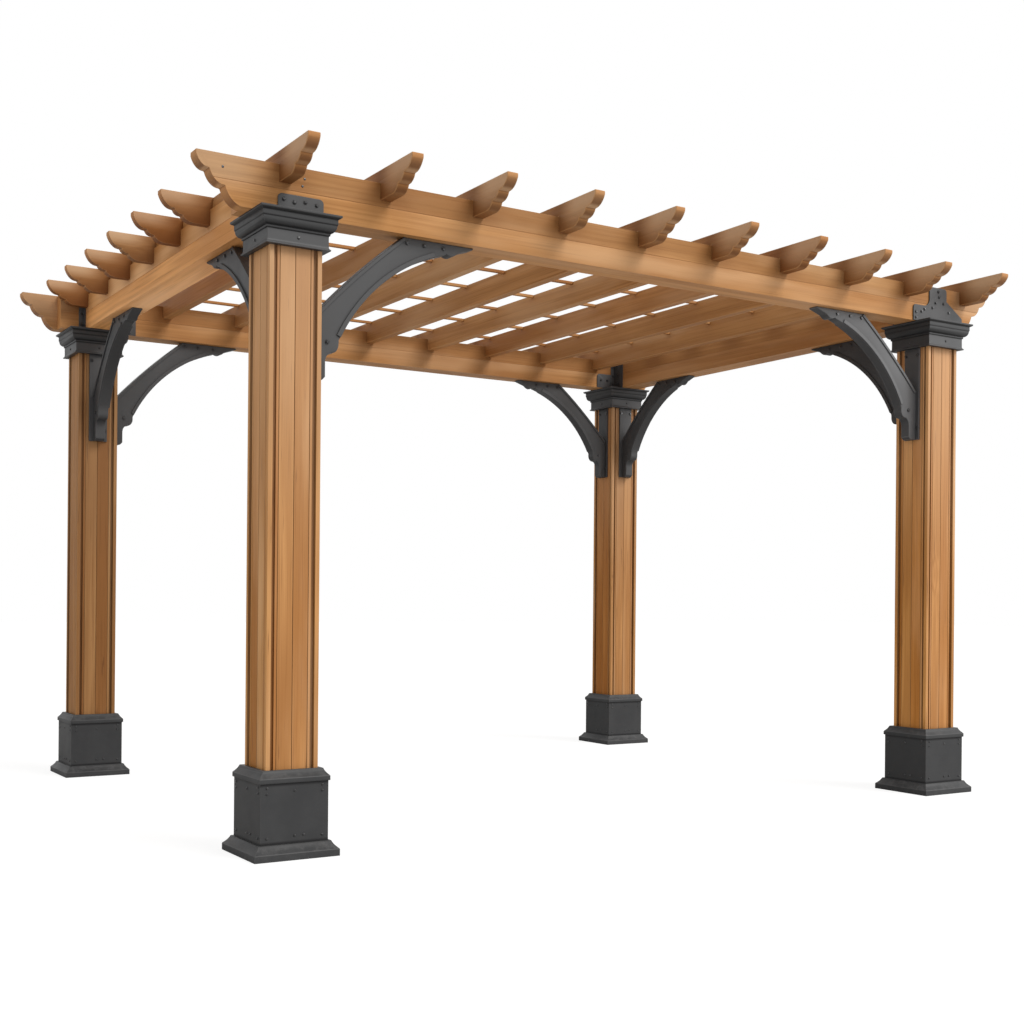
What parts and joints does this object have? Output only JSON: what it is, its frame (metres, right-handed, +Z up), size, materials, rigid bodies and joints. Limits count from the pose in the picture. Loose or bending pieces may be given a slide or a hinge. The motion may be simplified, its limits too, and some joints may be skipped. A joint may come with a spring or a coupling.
{
  "type": "wooden pergola",
  "caption": "Free-standing timber pergola with clad posts on metal bases, moulded capitals, arched knee braces and a two-way grid of scalloped rafters.",
  "frame": {"origin": "middle of the plan, on the ground under the four feet", "axes": "+X along the front beam to the right, +Y from the front to the back, +Z up"},
  "size_m": [3.9, 3.054, 2.392],
  "materials": {
    "cedar_post": "oiled, satin",
    "cedar_beam": "oiled, satin",
    "cedar_rafter": "oiled, satin",
    "charcoal_metal": "powder coated, satin"
  },
  "bodies": {
    "root": {"base_front_left": "charcoal_metal", "base_front_right": "charcoal_metal", "base_back_left": "charcoal_metal", "base_back_right": "charcoal_metal", "post_front_left": "cedar_post", "post_front_right": "cedar_post", "post_back_left": "cedar_post", "post_back_right": "cedar_post", "capital_front_left": "charcoal_metal", "capital_front_right": "charcoal_metal", "capital_back_left": "charcoal_metal", "capital_back_right": "charcoal_metal", "front_beam": "cedar_beam", "back_beam": "cedar_beam", "left_side_beam": "cedar_beam", "right_side_beam": "cedar_beam", "brace_front_left_x": "charcoal_metal", "brace_front_right_x": "charcoal_metal", "brace_back_left_x": "charcoal_metal", "brace_back_right_x": "charcoal_metal", "brace_front_left_y": "charcoal_metal", "brace_front_right_y": "charcoal_metal", "brace_back_left_y": "charcoal_metal", "brace_back_right_y": "charcoal_metal", "bracket_front_left": "charcoal_metal", "bracket_front_right": "charcoal_metal", "bracket_back_left": "charcoal_metal", "bracket_back_right": "charcoal_metal", "rafter_01": "cedar_rafter", "rafter_02": "cedar_rafter", "rafter_03": "cedar_rafter", "rafter_04": "cedar_rafter", "rafter_05": "cedar_rafter", "rafter_06": "cedar_rafter", "rafter_07": "cedar_rafter", "rafter_08": "cedar_rafter", "rafter_09": "cedar_rafter", "rafter_10": "cedar_rafter", "cross_rafter_1": "cedar_rafter", "cross_rafter_2": "cedar_rafter", "cross_rafter_3": "cedar_rafter", "cross_rafter_4": "cedar_rafter", "cross_rafter_5": "cedar_rafter", "cross_rafter_6": "cedar_rafter"}
  },
  "joints": []
}
